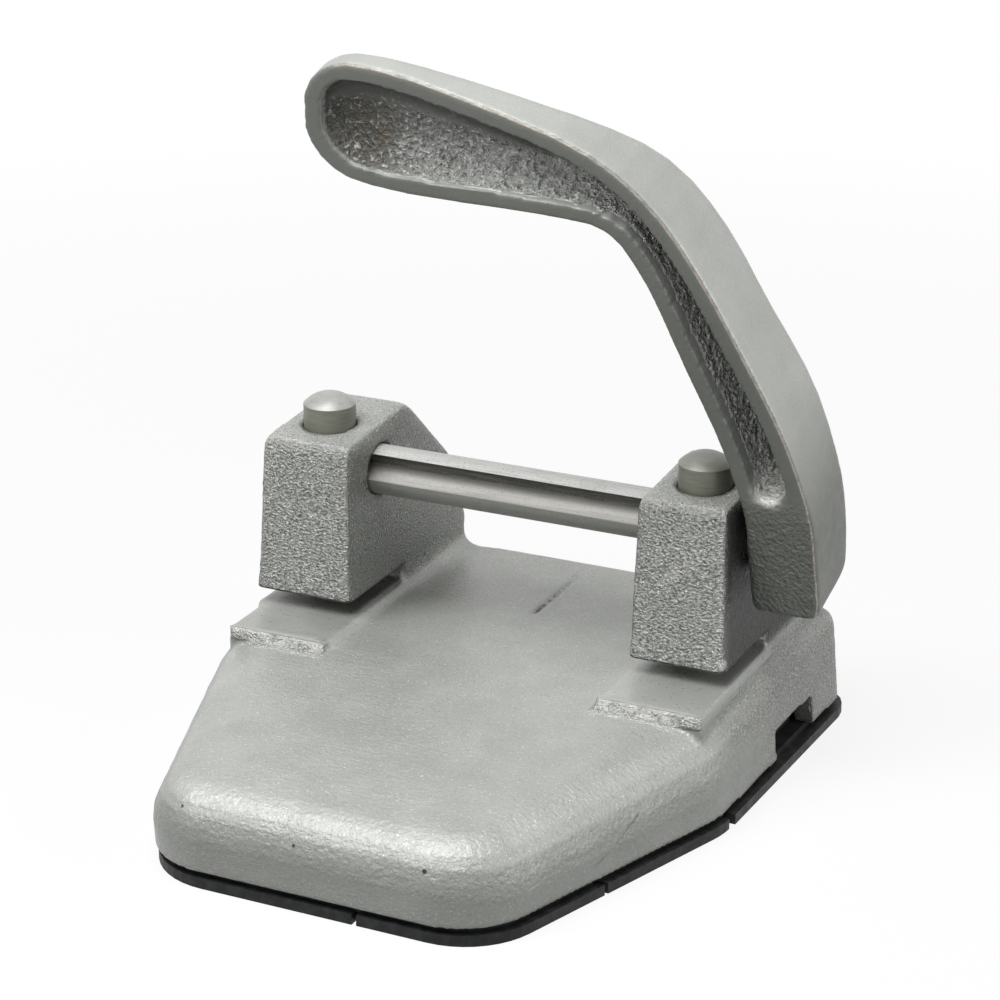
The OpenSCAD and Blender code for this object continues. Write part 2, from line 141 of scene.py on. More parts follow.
# %% Arrays of points, normals and edges
def points_of(mesh):
    flat = np.empty(len(mesh.vertices) * 3)
    mesh.vertices.foreach_get("co", flat)
    return flat.reshape(-1, 3)


def normals_of(mesh):
    flat = np.empty(len(mesh.vertices) * 3)
    mesh.vertex_normals.foreach_get("vector", flat)
    return flat.reshape(-1, 3)


def place_points(mesh, points):
    mesh.vertices.foreach_set("co", points.ravel())
    mesh.update()


def mean_of_neighbours(mesh, values):
    """For each point, the mean of its row of values over the points that share an edge with it."""
    flat = np.empty(len(mesh.edges) * 2, dtype=np.int32)
    mesh.edges.foreach_get("vertices", flat)
    a, b = flat.reshape(-1, 2).T
    size = len(values)
    count = np.maximum(np.bincount(a, minlength=size) + np.bincount(b, minlength=size), 1)
    return np.stack([(np.bincount(a, column[b], size) + np.bincount(b, column[a], size)) / count
                     for column in values.reshape(size, -1).T], axis=1).reshape(values.shape)


step_in, step_out = 0.5, -0.53


def ease(mesh, weight, rounds):
    """Smooth the skin: one step towards the neighbours' middle, then one a little longer back out."""
    points = points_of(mesh)
    for _ in range(rounds):
        for step in (step_in, step_out):
            points += step * weight[:, None] * (mean_of_neighbours(mesh, points) - points)
    place_points(mesh, points)


def soften(mesh, weight, rounds):
    """Plain smoothing, for hollow corners that metal and paint fill up."""
    points = points_of(mesh)
    for _ in range(rounds):
        points += step_in * weight[:, None] * (mean_of_neighbours(mesh, points) - points)
    place_points(mesh, points)


# %% Noise and fades
def ramp(value, start, end):
    share = np.clip((value - start) / (end - start), 0, 1)
    return share * share * (3 - 2 * share)


def lumps(points, size, seed):
    """Smooth noise from about -1 to 1, in lumps of about the given size."""
    shift = Vector((seed * 7.31, seed * 3.77, seed * 5.13))
    return np.array([noise.noise(Vector(p) / size + shift) for p in points])


def keep_values(mesh, **fields):
    """Keep numbers on each point, one for each name, for a finish to read."""
    for name, values in fields.items():
        field = mesh.attributes.new(name, "FLOAT", "POINT")
        field.data.foreach_set("value", values.astype(np.float32))
        print(name, "at", int((values > 0.5).sum()), "points")


print("a lump of noise near the origin measures", round(lumps([(0.1 * mm, 0, 0)], 1 * mm, 1)[0], 3))

# %% [markdown]
# ## Easing the edges of the casting
# The posts and the base come out of the sand with soft edges, while the pads under the posts were milled
# afterwards, and the bores were drilled. So the whole skin is eased except near those, and the edges of the
# posts are rounded further, because there the paint rolls over; their bright line is a painted highlight
# added later. The step in front of each pad was left by the cutter as a ragged edge. Round each punch and at
# each end of the shaft the bore is opened a little, where the photograph shows a thin dark ring. The groove
# in the deck that marks the middle of the sheet is finer than the quads, so it is pressed in again.

# %% Ease the casting, keep the milled and drilled faces
points = points_of(casting.data)
x, y, z = points.T
across = np.abs(x)
from_punch = np.hypot(across - punch_x, y)
from_shaft = np.hypot(y - shaft_y, z - shaft_z)
on_pad = (ramp(y, pad_front - 1.5 * mm, pad_front - 0.6 * mm) * ramp(-y, -12.5 * mm, -12 * mm)
          * ramp(across, punch_x - 11.2 * mm, punch_x - 10.2 * mm)
          * ramp(z, deck_z - 1 * mm, deck_z - 0.4 * mm) * ramp(-z, -slot_roof - 0.5 * mm, -slot_roof))
in_bore = np.maximum(ramp(-from_punch, -punch_r - 0.9 * mm, -punch_r - 0.5 * mm),
                     ramp(-from_shaft, -shaft_r - 0.9 * mm, -shaft_r - 0.5 * mm))
crisp = np.maximum(on_pad, in_bore)
ease(casting.data, 1 - crisp, rounds=8)
print("points held crisp:", int((crisp > 0.5).sum()), "of", len(points))

# %% Soften the corners of the deck, the pads and the posts
deck_corner = (ramp(z, deck_z - 1.5 * mm, deck_z - 0.5 * mm) * ramp(-z, -deck_z - 5 * mm, -deck_z - 3 * mm)
               * ramp(y, 10 * mm, 13 * mm) * ramp(across, punch_x - 19 * mm, punch_x - 17 * mm)
               * ramp(-across, -punch_x + 7 * mm, -punch_x + 9 * mm))
soften(casting.data, deck_corner * (1 - crisp), rounds=16)
pad_edge = (ramp(across, punch_x - 16 * mm, punch_x - 14.5 * mm)
            * ramp(-across, -punch_x + 9 * mm, -punch_x + 10.2 * mm)
            * ramp(-z, -pad_z - 1 * mm, -pad_z - 0.6 * mm) * ramp(z, deck_z - 2 * mm, deck_z - 1 * mm)
            * ramp(y, pad_front + 1 * mm, pad_front + 4 * mm))
soften(casting.data, pad_edge, rounds=30)
pad_rim = (ramp(across, 48 * mm, 49 * mm) * ramp(-across, -53 * mm, -51.5 * mm)
           * ramp(-z, -pad_z - 1 * mm, -pad_z - 0.6 * mm) * ramp(z, deck_z - 4 * mm, deck_z - 3 * mm)
           * ramp(y, pad_front + 0.5 * mm, pad_front + 2 * mm))
soften(casting.data, pad_rim, rounds=12)
pad_step = (ramp(y, pad_front - 3.2 * mm, pad_front - 1.2 * mm) * ramp(-y, -pad_front - 0.5 * mm, -pad_front)
            * ramp(across, punch_x - 12 * mm, punch_x - 11 * mm)
            * ramp(z, deck_z - 1.5 * mm, deck_z - 0.6 * mm) * ramp(-z, -pad_z - 1 * mm, -pad_z - 0.5 * mm))
soften(casting.data, pad_step, rounds=14)
post_edges = ramp(z, slot_roof + 1 * mm, slot_roof + 4 * mm)
soften(casting.data, post_edges * (1 - crisp), rounds=22)
print("points softened on the posts:", int((post_edges * (1 - crisp) > 0.5).sum()))

# %% Open the bores where they come out and press in the groove
punch_gap, shaft_gap = 0.14 * mm, 0.3 * mm
points = points_of(casting.data)
side = np.sign(points[:, 0])
offset = np.stack([points[:, 0] - side * punch_x, points[:, 1]], axis=1)
radius = np.linalg.norm(offset, axis=1)
wanted = punch_r + punch_gap
bored = (points[:, 2] > slot_roof + 5.5 * mm) & (radius < wanted)
points[bored, :2] += offset[bored] * (wanted / radius[bored] - 1)[:, None]
offset = points[:, 1:] - np.array([shaft_y, shaft_z])
radius = np.linalg.norm(offset, axis=1)
wanted = shaft_r + shaft_gap
bored = (radius < wanted) & (radius > shaft_r - 0.8 * mm) & (np.abs(points[:, 0]) > 20 * mm)
points[bored, 1:] += offset[bored] * (wanted / radius[bored] - 1)[:, None]
x, y, z = points.T
groove = (ramp(y, groove_front - 1 * mm, groove_front) * ramp(-y, -groove_rear, -groove_rear + 2 * mm)
          * ramp(-np.abs(x), -0.85 * mm, -0.2 * mm) * (np.abs(z - deck_z) < 1 * mm))
points[groove > 0, 2] = np.minimum(z, deck_z - groove_depth * groove)[groove > 0]
place_points(casting.data, points)
print("points moved at the shaft's bores:", int(bored.sum()), "and in the groove:", int((groove > 0).sum()))

# %% [markdown]
# ## The grain of the casting
# The photograph shows four textures on one casting. The fronts of the posts are pebbled, because that sand
# was never dressed. The flanks of the base are coarse but softened by paint, and smooth in a band just above
# the tray, where the edge was ground. The sides of the posts are like sandpaper, the deck is finer still, and
# the milled pads have no grain. The larger lumps are moved in the skin itself, so that they show in the
# outline, and the paint's bump adds what is smaller than a quad. Both read the same numbers.

# %% Choose the grain region by region
points = points_of(casting.data)
normals = normals_of(casting.data)
x, y, z = points.T
across = np.abs(x)
facing_front = ramp(-normals[:, 1], 0.3, 0.65)
sideways = ramp(np.abs(normals[:, 0]), 0.5, 0.85)
upright = 1 - ramp(np.abs(normals[:, 2]), 0.4, 0.8)
above_slot = ramp(z, slot_roof - 0.3 * mm, slot_roof + 0.6 * mm)
post_front = above_slot * facing_front * ramp(-y, 6 * mm, 8 * mm)
post_side = ramp(z, deck_z + 1 * mm, deck_z + 3 * mm) * sideways
below_deck = ramp(-z, -deck_z - 1 * mm, -deck_z + 2 * mm)
ground_band = ramp(-z, -foot_z - 5 * mm, -foot_z - 3 * mm)
shoulder = ramp(-z, -deck_z + 1 * mm, -deck_z + 4 * mm) * ramp(normals[:, 2], -0.2, 0.1)
pebble = np.maximum(post_front * (1 - crisp), 0.6 * pad_step)
rim_strip = ramp(across, 48 * mm, 50.5 * mm) * ramp(y, -22 * mm, -14 * mm) * ramp(z, 12 * mm, 16 * mm)
wavy = np.clip(shoulder * (1 - 0.7 * ground_band), 0, 1) * (1 - crisp)
beside_deck = below_deck * sideways * ramp(y, -12 * mm, 8 * mm)
sand = np.clip(post_side + beside_deck + 0.75 * above_slot * (1 - post_front) + 0.7 * rim_strip
               + 0.16 - 0.06 * wavy, 0, 1)
sand *= 1 - crisp
print("pebbled points:", int((pebble > 0.5).sum()), "sanded points:", int((sand > 0.6).sum()))

# %% Move the larger lumps
coarse = lumps(points, 1.5 * mm, 1) + 0.8 * lumps(points, 0.85 * mm, 2)
small = lumps(points, 0.75 * mm, 3)
slow = lumps(points, 12 * mm, 4)
drawn = lumps(points * np.array([0.6, 0.6, 1]), 2.4 * mm, 7)
peel = lumps(points * np.array([0.7, 1, 1]), 2.3 * mm, 8)
pebble_rise, sand_rise, slow_rise = 0.095 * mm, 0.05 * mm, 0.07 * mm
drawn_rise, peel_rise, step_rise = 0.085 * mm, 0.022 * mm, 0.08 * mm
height = (pebble_rise * pebble * coarse + sand_rise * sand * small + slow_rise * (1 - crisp) * slow
          + drawn_rise * wavy * drawn + peel_rise * (1 - crisp) * peel + step_rise * pad_step * coarse)
height *= ramp(z, foot_z + 0.2 * mm, foot_z + 1.2 * mm)
points = np.clip(points + normals * height[:, None], solid_low, solid_high)
place_points(casting.data, points)
print("lumps from", round(height.min() / mm, 3), "to", round(height.max() / mm, 3), "mm")

# %% [markdown]
# ## Where the casting's paint is worn and dirty, and where shade is painted in
# Paper and thumbs rub the front edge of the milled pads, and the paint there is gone in a ragged line. Small
# knocks show on the corners of the posts. The sides of the posts, most of all beside the lever, the low
# walls, the rear of the deck, the left pad and the front of the left post are painted darker: a little dirt,
# but mostly painted shade where less light falls. The upper and right front edges of the posts get a painted
# highlight. Each is kept as a number on each point, which the paint reads later. Convex edges are found by
# comparing each point with the middle of its neighbours.

# %% Find the convex edges, the worn step, and the dirt and painted shade on the sides
def edge_sharpness(mesh):
    """How far each point stands out from the middle of its neighbours, in millimetres."""
    points = points_of(mesh)
    out = ((points - mean_of_neighbours(mesh, points)) * normals_of(mesh)).sum(axis=1) / mm
    for _ in range(2):
        out = 0.5 * out + 0.5 * mean_of_neighbours(mesh, out)
    return out


sharp = edge_sharpness(casting.data)
ragged = 0.5 + 0.5 * lumps(points, 1.8 * mm, 5) + 0.3 * lumps(points, 0.6 * mm, 6)
step = (ramp(-y, -pad_front - 0.9 * mm, -pad_front - 0.2 * mm)
        * ramp(y, pad_front - 2.2 * mm, pad_front - 0.3 * mm)
        * ramp(across, punch_x - 12 * mm, punch_x - 10 * mm) * ramp(z, deck_z - 0.8 * mm, deck_z))
corner_chip = np.array([48.9, -11.3, 28.2]) * mm
chip = ramp(-np.linalg.norm(points - corner_chip, axis=1), -1.3 * mm, -0.7 * mm)
worn = 0.8 * step * ramp(ragged, 0.1, 0.8) + 0.6 * ramp(sharp, 0.05, 0.12) * ramp(ragged, 0.75, 1.05) + chip
beside_lever = post_side * ramp(x, punch_x + 6 * mm, punch_x + 8 * mm)
# Painted shade, with some dirt, in the narrow gap between the right post and the lever.
in_gap = beside_lever * ramp(y, -11.8 * mm, -8.5 * mm) * ramp(z, 21 * mm, 27 * mm)
low_walls = below_deck * upright * (0.85 - 0.2 * ramp(y, -12 * mm, 5 * mm))
# Painted highlight on the upper and right front edges of the posts, where they face the light.
rolled = above_slot * ramp(-normals[:, 1], 0.25, 0.45) * np.maximum(
    ramp(normals[:, 2], 0.25, 0.45), 0.8 * ramp(normals[:, 0], 0.25, 0.45))
right_half = ramp(x, -mm, mm)
rear_deck = (ramp(y, -12 * mm, 0) * ramp(z, deck_z - 1 * mm, deck_z)
             * ramp(-z, -deck_z - 2 * mm, -deck_z - 1 * mm))
flat_top = ramp(normals[:, 2], 0.85, 0.96) * ramp(-z, -deck_z - 1 * mm, -deck_z - 0.5 * mm) * (1 - on_pad)
# Partly dirt, mostly painted shade: the post sides, most beside the lever, the bores above the slot, the left
# pad and left post front, the low walls and the rear of the deck are darkened.
grime = np.clip(0.68 * post_side + 0.4 * beside_lever + 0.3 * crisp * above_slot + 0.07 * flat_top
                + (0.18 - 0.1 * right_half) * on_pad + (0.08 - 0.08 * right_half) * post_front
                + 0.55 * low_walls + 0.24 * rear_deck, 0, 1)
keep_values(casting.data, worn=np.clip(worn, 0, 1), wavy=wavy, pebble=pebble, sand=sand, grime=grime,
            in_gap=in_gap, rolled=rolled)

# %% [markdown]
# ## The lever's skin
# The lever is a second casting. Its back and sides were fettled smooth, the front is a narrow rim, and inside
# the rim runs a hollow that the sand left rough, and which gets painted shade later. In the solid that hollow
# has steep sides and a flat floor. On the real lever it is a rounded trough, so that its upper half lies in
# shade and its lower half catches the light. The lever leans forward at rest, so its points are turned
# upright first, which makes the front face a plane. A point lies in the hollow if it is well behind that
# plane and looks forward, or if it looks across at another part of the lever.

# %% Turn the lever upright and back
shaft_axis = np.array([0, shaft_y, shaft_z])
turn_upright = np.array(Matrix.Rotation(-lever_lean, 3, "X"))
turn_back = np.array(Matrix.Rotation(lever_lean, 3, "X"))


def upright_points(points):
    """Lever points with its lean taken out, from the shaft axis."""
    return (points - shaft_axis) @ turn_upright.T


def leaning_points(local):
    """Back from upright points to the lever as it stands at rest."""
    return local @ turn_back.T + shaft_axis


def upright_normals(normals):
    return normals @ turn_upright.T


print("the lever leans forward by", round(math.degrees(lever_lean)), "degrees")

# %% Find the hollow of the lever
def faces_lever(mesh, chosen):
    """True for each chosen point that looks at another part of the lever, straight along the front plane."""
    points, normals = points_of(mesh), normals_of(mesh)
    tree = BVHTree.FromPolygons([Vector(p) for p in points], [p.vertices[:] for p in mesh.polygons])
    aside = upright_normals(normals) * np.array([1, 0, 1])
    aside = aside / np.maximum(np.linalg.norm(aside, axis=1), 1e-9)[:, None]
    aside = aside @ turn_back.T
    answer = np.zeros(len(points), bool)
    for i in np.flatnonzero(chosen):
        look = Vector(aside[i])
        answer[i] = tree.ray_cast(Vector(points[i]) + look * 0.3 * mm, look, 26 * mm)[0] is not None
    return answer


points = points_of(lever.data)
local = upright_points(points)
local_normal = upright_normals(normals_of(lever.data))
forward = -local_normal[:, 1]
leans_aside = np.hypot(local_normal[:, 0], local_normal[:, 2]) > 0.25
depth = local[:, 1] - lever_face
above_foot = local[:, 2] > 9 * mm
wall = faces_lever(lever.data, (depth > 0.2 * mm) & above_foot & leans_aside)
inside = above_foot & (wall | ((forward > 0.2) & (depth > 1.2 * mm)))
print("points in the hollow:", int(inside.sum()), "of", len(points))

# %% [markdown]
# The trough is made by giving the floor a depth that grows from nothing at the rim along a quarter of an
# ellipse, to a little more than the solid's own depth. At the foot of the hollow it runs out into the front
# face. The steep sides fold flat in this, so the piece is remeshed once more.

# %% Round the hollow into a trough
def nearest(places, wanted):
    """For each wanted place, how far the nearest of the places is, and which one that is."""
    places_tree = KDTree(len(places))
    for i, place in enumerate(places):
        places_tree.insert(place, i)
    places_tree.balance()
    found = [places_tree.find(place) for place in wanted]
    return np.array([f[2] for f in found]), np.array([f[1] for f in found])


trough_width = 8 * mm
deeper = 1.35
hollow_foot = 12 * mm
from_front = local * np.array([1, 0, 1])
rim = (depth < 0.3 * mm) & (forward > 0.9)
bottom = inside & (forward > 0.85) & (depth > 1.5 * mm)
from_rim = nearest(from_front[rim], from_front[inside])[0]
bottom_depth = depth[bottom][nearest(from_front[bottom], from_front[inside])[1]]
curve = np.sqrt(1 - (1 - np.clip(from_rim / trough_width, 0, 1)) ** 2)
run_out = ramp(local[inside, 2], hollow_foot, hollow_foot + 7 * mm)
local[inside, 1] = lever_face + 0.2 * mm + np.minimum(
    depth[inside] + (deeper - 1) * bottom_depth, deeper * bottom_depth * curve * run_out)
place_points(lever.data, leaning_points(local))
trough_points = leaning_points(local[inside])
even_quads(lever, lever_grid)
print("trough down to", round((local[inside, 1].max() - lever_face) / mm, 1), "mm behind the front face")

# %% Ease the lever's edges and move its lumps
points = points_of(lever.data)
from_shaft = np.hypot(points[:, 1] - shaft_y, points[:, 2] - shaft_z)
in_bore = ramp(-from_shaft, -shaft_r - 0.9 * mm, -shaft_r - 0.5 * mm)
ease(lever.data, 1 - in_bore, rounds=3)
points = points_of(lever.data)
hollow = ramp(-nearest(trough_points, points)[0], -0.75 * mm, -0.35 * mm)
hollow *= ramp(upright_points(points)[:, 1], lever_face + 0.25 * mm, lever_face + 0.8 * mm)
soften(lever.data, hollow, rounds=12)
points = points_of(lever.data)
normals = normals_of(lever.data)
local = upright_points(points)
local_normal = upright_normals(normals)
front = ramp(-local_normal[:, 1], 0.3, 0.6) * (1 - hollow)
low_front = front * ramp(-local[:, 2], -17 * mm, -9 * mm)
near_tip = ramp(-local[:, 0], 6 * mm, 18 * mm)
looks_up = ramp(0.65 * local_normal[:, 2] + 0.35 * (1 - near_tip) * local_normal[:, 0], -0.28, 0.14)
rough_floor = hollow * (0.1 + 0.9 * ramp(looks_up, 0.15, 0.6))
rough_floor *= ramp(local[:, 1], lever_face + 0.6 * mm, lever_face + 1.8 * mm) * (1 - 0.3 * near_tip)
coarse = lumps(points, 1.6 * mm, 11) + 0.8 * lumps(points, 0.8 * mm, 12)
small = lumps(points, 0.6 * mm, 13)
slow = lumps(points, 10 * mm, 14)
floor_rise, small_rise, slow_rise, front_rise = 0.26 * mm, 0.015 * mm, 0.05 * mm, 0.08 * mm
height = (floor_rise * rough_floor * coarse + small_rise * small + slow_rise * slow
          + front_rise * low_front * (coarse + lumps(points, 3 * mm, 15))) * (1 - in_bore)
points = np.clip(points + normals * height[:, None], solid_low, solid_high)
place_points(lever.data, points)
print("lumps on the lever from", round(height.min() / mm, 3), "to", round(height.max() / mm, 3), "mm")

# %% Wear, rust, dirt and painted shade on the lever
ragged = 0.5 + 0.5 * lumps(points, 2.5 * mm, 16) + 0.3 * lumps(points, 0.7 * mm, 17)
rust_place = np.array([-17.2, -24.3, 126.3]) * mm
hollow_end = np.array([55.5, -7, 63]) * mm
near_rust = ramp(-np.linalg.norm(points - rust_place, axis=1), -9 * mm, -2 * mm)
near_end = ramp(-np.linalg.norm(points - hollow_end, axis=1), -5 * mm, -2 * mm)
rust = 0.7 * hollow * near_rust * ramp(ragged, 0.2, 0.8) + 0.5 * near_end * ramp(ragged, 0.55, 0.85)
worn = np.clip(0.75 * near_end * ramp(-ragged, -0.75, -0.4), 0, 1)
# Painted shade in the hollow: darker where the surface faces down, and near the tip whatever way it faces.
shade = hollow * (0.93 - 0.93 * looks_up * (1 - 0.88 * near_tip))
# Painted shade with some dirt: the lever's front face, which looks down, its sides low down, and a little
# higher up.
low_side = ramp(-local[:, 2], -34 * mm, -2 * mm)
grime = (0.86 + 0.1 * ramp(-local[:, 2], -74 * mm, -40 * mm)) * front
grime += np.maximum(low_side, 0.1 * ramp(local[:, 2], 55 * mm, 75 * mm)) * (1 - front)
grime = np.clip(grime * (1 - hollow), 0, 1)
print("points in deep shade:", int((shade > 0.8).sum()))

# %% Find the outer front edges
edge_depth = local[:, 1] - lever_face
in_band = (edge_depth > 0.05 * mm) & (edge_depth < 1.2 * mm) & (
    np.hypot(local_normal[:, 0], local_normal[:, 2]) > 0.25)
outer = (in_band & ~faces_lever(lever.data, in_band)).astype(float)
outer = np.clip(1.5 * mean_of_neighbours(lever.data, outer), 0, 1)
# Only edges that face right and up, where the light falls, keep the mask, so the bright line there is partly
# a painted highlight.
outer *= ramp(normals[:, 0] + 0.6 * normals[:, 2], -0.1, 0.3)
keep_values(lever.data, worn=worn, shade=shade, rough_floor=rough_floor, rust=rust, outer_edge=outer,
            stipple=low_front, grime=grime)

# %% [markdown]
# ## Fewer faces where nothing shows
# Half-millimetre quads also cover the inside of the base, which nobody sees. Collapsing edges removes points
# where the surface is flat and keeps them where there is grain, so the pieces stay light enough to reuse.

# %% Collapse the flat places
casting_most, lever_most = 190000, 120000


def count_triangles(skin):
    return sum(len(p.vertices) - 2 for p in skin.data.polygons)


def lighten(skin, most):
    triangles = count_triangles(skin)
    if triangles > most:
        collapse = skin.modifiers.new("collapse", "DECIMATE")
        collapse.ratio = most / triangles
        evaluated = skin.evaluated_get(bpy.context.evaluated_depsgraph_get())
        mesh = bpy.data.meshes.new_from_object(evaluated)
        skin.modifiers.clear()
        skin.data = mesh
        place_points(mesh, np.clip(points_of(mesh), solid_low, solid_high))
    print(skin.name, "from", triangles, "to", count_triangles(skin), "triangles")


lighten(casting, casting_most)
lighten(lever, lever_most)

# %% Put the skins in place of the solids
for skin, node, body, slot in [(casting, "frame_casting", "frame", "cast_paint"),
                               (lever, "lever", "lever_and_shaft", "lever_paint")]:
    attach(skin, body)
    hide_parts(node)
    print(skin.name, "rides on", body)

# %% [markdown]
# ## Tools for the finishes
# Each finish is a node material that reads the point's place on the object in metres, so one over the size
# of a feature gives its scale. `fleck` turns noise into a mask between two limits, `kept` reads a number kept
# on the skin, `times` joins two masks, `tint` mixes colours by such a mask, `vector` measures distances for
# single marks, and `relief` chains bumps. A change of range and arithmetic on two numbers also serve the
# floor and the world, so these two stand on their own.

# %% Plain steps between nodes
def new_range(nodes, links, value, low, high, start, end):
    """The value, moved from the range low to high into the range start to end."""
    span = nodes.new("ShaderNodeMapRange")
    for socket, number in zip(("From Min", "From Max", "To Min", "To Max"), (low, high, start, end)):
        span.inputs[socket].default_value = number
    links.new(value, span.inputs["Value"])
    return span.outputs["Result"]


def two_numbers(nodes, links, operation, first, second):
    """Arithmetic on an output with a second output or a plain number."""
    step = nodes.new("ShaderNodeMath")
    step.operation = operation
    links.new(first, step.inputs[0])
    if isinstance(second, (int, float)):
        step.inputs[1].default_value = second
    else:
        links.new(second, step.inputs[1])
    return step.outputs[0]


def dress(mesh, material):
    """Give a mesh one finish, in place of what it came with."""
    mesh.materials.clear()
    mesh.materials.append(material)


# %% Node helpers
class Finish:
    def __init__(self, name):
        self.material = bpy.data.materials.new(name)
        self.material.use_nodes = True
        self.nodes = self.material.node_tree.nodes
        self.links = self.material.node_tree.links
        self.shader = self.nodes["Principled BSDF"]
        self.place = self.nodes.new("ShaderNodeTexCoord").outputs["Object"]

    def join(self, output, socket):
        self.links.new(output, socket)

    def noise(self, size, detail=2.0, stretch=None):
        """Noise with features about the given size; stretch scales the place first."""
        place = self.place
        if stretch:
            scale = self.nodes.new("ShaderNodeMapping")
            scale.inputs["Scale"].default_value = stretch
            self.join(place, scale.inputs["Vector"])
            place = scale.outputs["Vector"]
        texture = self.nodes.new("ShaderNodeTexNoise")
        texture.inputs["Scale"].default_value = 1 / size
        texture.inputs["Detail"].default_value = detail
        self.join(place, texture.inputs["Vector"])
        return texture.outputs["Fac"]

    def fleck(self, value, low, high, start=0.0, end=1.0):
        return new_range(self.nodes, self.links, value, low, high, start, end)

    def kept(self, name):
        attribute = self.nodes.new("ShaderNodeAttribute")
        attribute.attribute_name = name
        return attribute.outputs["Fac"]

    def times(self, first, second):
        return two_numbers(self.nodes, self.links, "MULTIPLY", first, second)

    def tint(self, mask, below, above):
        """A colour that goes from below to above as the mask rises; each is a colour or an output."""
        mix = self.nodes.new("ShaderNodeMix")
        mix.data_type = "RGBA"
        self.join(mask, mix.inputs[0])
        for socket, colour in ((mix.inputs[6], below), (mix.inputs[7], above)):
            if isinstance(colour, tuple):
                socket.default_value = (*colour, 1)
            else:
                self.join(colour, socket)
        return mix.outputs[2]

    def vector(self, operation, value, other):
        """A vector operation on an output with a fixed vector; gives the number or the vector it makes."""
        step = self.nodes.new("ShaderNodeVectorMath")
        step.operation = operation
        self.join(value, step.inputs[0])
        step.inputs[1].default_value = other
        number = operation in ("DOT_PRODUCT", "DISTANCE", "LENGTH")
        return step.outputs["Value" if number else "Vector"]

    def relief(self, height, distance, strength=1.0, under=None):
        bump = self.nodes.new("ShaderNodeBump")
        bump.inputs["Strength"].default_value = strength
        bump.inputs["Distance"].default_value = distance
        self.join(height, bump.inputs["Height"])
        if under is not None:
            self.join(under, bump.inputs["Normal"])
        return bump.outputs["Normal"]

    def end(self, colour, roughness, normal, metallic, specular=0.5):
        self.join(colour, self.shader.inputs["Base Color"])
        self.join(roughness, self.shader.inputs["Roughness"])
        self.join(normal, self.shader.inputs["Normal"])
        self.shader.inputs["Metallic"].default_value = metallic
        self.shader.inputs["Specular IOR Level"].default_value = specular
        print("finish", self.material.name, "with", len(self.nodes), "nodes")
        return self.material


# %% [markdown]
# ## Silver paint on the castings
# The paint is aluminium flake in a clear binder: grey, with a soft shine, and alive with tiny specks where a
# flake or a grain of sand faces the light. Flat grey would look like plastic, so the colour drifts slowly
# from place to place, fine dark grains lie over it, and rare bright flecks on top are painted glints. The
# hollows between the pebbles and the pits of the sand are darkened, as painted shade and dirt, and their
# crests carry painted glints. Where the paint is worn, the bright iron shows.

# %% Colours of the paint and what lies on it
paint_light, paint_dark = (0.465, 0.475, 0.452), (0.415, 0.425, 0.402)
paint_metal = 0.25
dark_grain, crevice_shade_and_dirt, dirt_and_shade_tone = (0.25, 0.26, 0.238), (0.13, 0.137, 0.118), (0.092, 0.10, 0.083)
painted_glint, bare_iron_and_highlight, rust_brown = (0.85, 0.85, 0.82), (0.68, 0.68, 0.65), (0.18, 0.145, 0.095)
gap_shade_and_dirt_black, hole_black, groove_shade_and_dirt = (0.022, 0.024, 0.02), (0.02, 0.02, 0.018), (0.06, 0.062, 0.055)
hollow_shade, hollow_dent_shade, copper_wear_and_highlight = (0.042, 0.044, 0.038), (0.06, 0.061, 0.054), (0.50, 0.44, 0.38)


def silver_coat(finish, drift_size, glint_share):
    """The paint itself: slow drift, dark grains and bright flecks, which are painted glints."""
    drift = finish.fleck(finish.noise(drift_size, 3), 0.35, 0.65)
    colour = finish.tint(drift, paint_dark, paint_light)
    grains = finish.fleck(finish.noise(0.4 * mm, 3), 0.56, 0.26, 0.0, 0.15)
    colour = finish.tint(grains, colour, dark_grain)
    glint_specks = finish.fleck(finish.noise(0.42 * mm, 1), 0.66, 0.74, 0.0, glint_share)
    return finish.tint(glint_specks, colour, painted_glint)


print("paint from", paint_dark, "to", paint_light)

# %% [markdown]
# ### Single marks
# Some marks on the casting are not noise: a long scratch down the right flank, dirt and painted shade in the
# groove that marks the middle of the sheet, and a few small blow holes, on the posts and along the nose. A
# scratch thinner than a quad can't be drawn with points, so the paint measures its distance from the line,
# which stays sharp at any size. The groove and the holes are measured in the same way.

# %% Marks on the casting
scratch_top, scratch_end = Vector((46.4, -44.7, 12.4)) * mm, Vector((42.8, -57.6, 6.0)) * mm
scratch_length = (scratch_end - scratch_top).length
blow_holes = [(Vector(place) * mm, radius * mm) for place, radius in [
    ((46.3, -10.8, 56.7), 0.42), ((-29.9, 20.9, 25.3), 0.4), ((-26.4, -82.2, 14.8), 0.4),
    ((22.6, -83.5, 13.5), 0.55), ((-2.9, -83.8, 12.9), 0.4)]]


def scratch_mask(finish):
    along = (scratch_end - scratch_top).normalized()
    from_top = finish.vector("SUBTRACT", finish.place, scratch_top)
    off_line = finish.vector("LENGTH", finish.vector("CROSS_PRODUCT", from_top, along), (0, 0, 0))
    down_line = finish.vector("DOT_PRODUCT", from_top, along)
    thin = finish.times(finish.fleck(off_line, 0.42 * mm, 0.15 * mm), finish.fleck(down_line, 0, 1 * mm))
    return finish.times(thin, finish.fleck(down_line, scratch_length, scratch_length - 3 * mm))


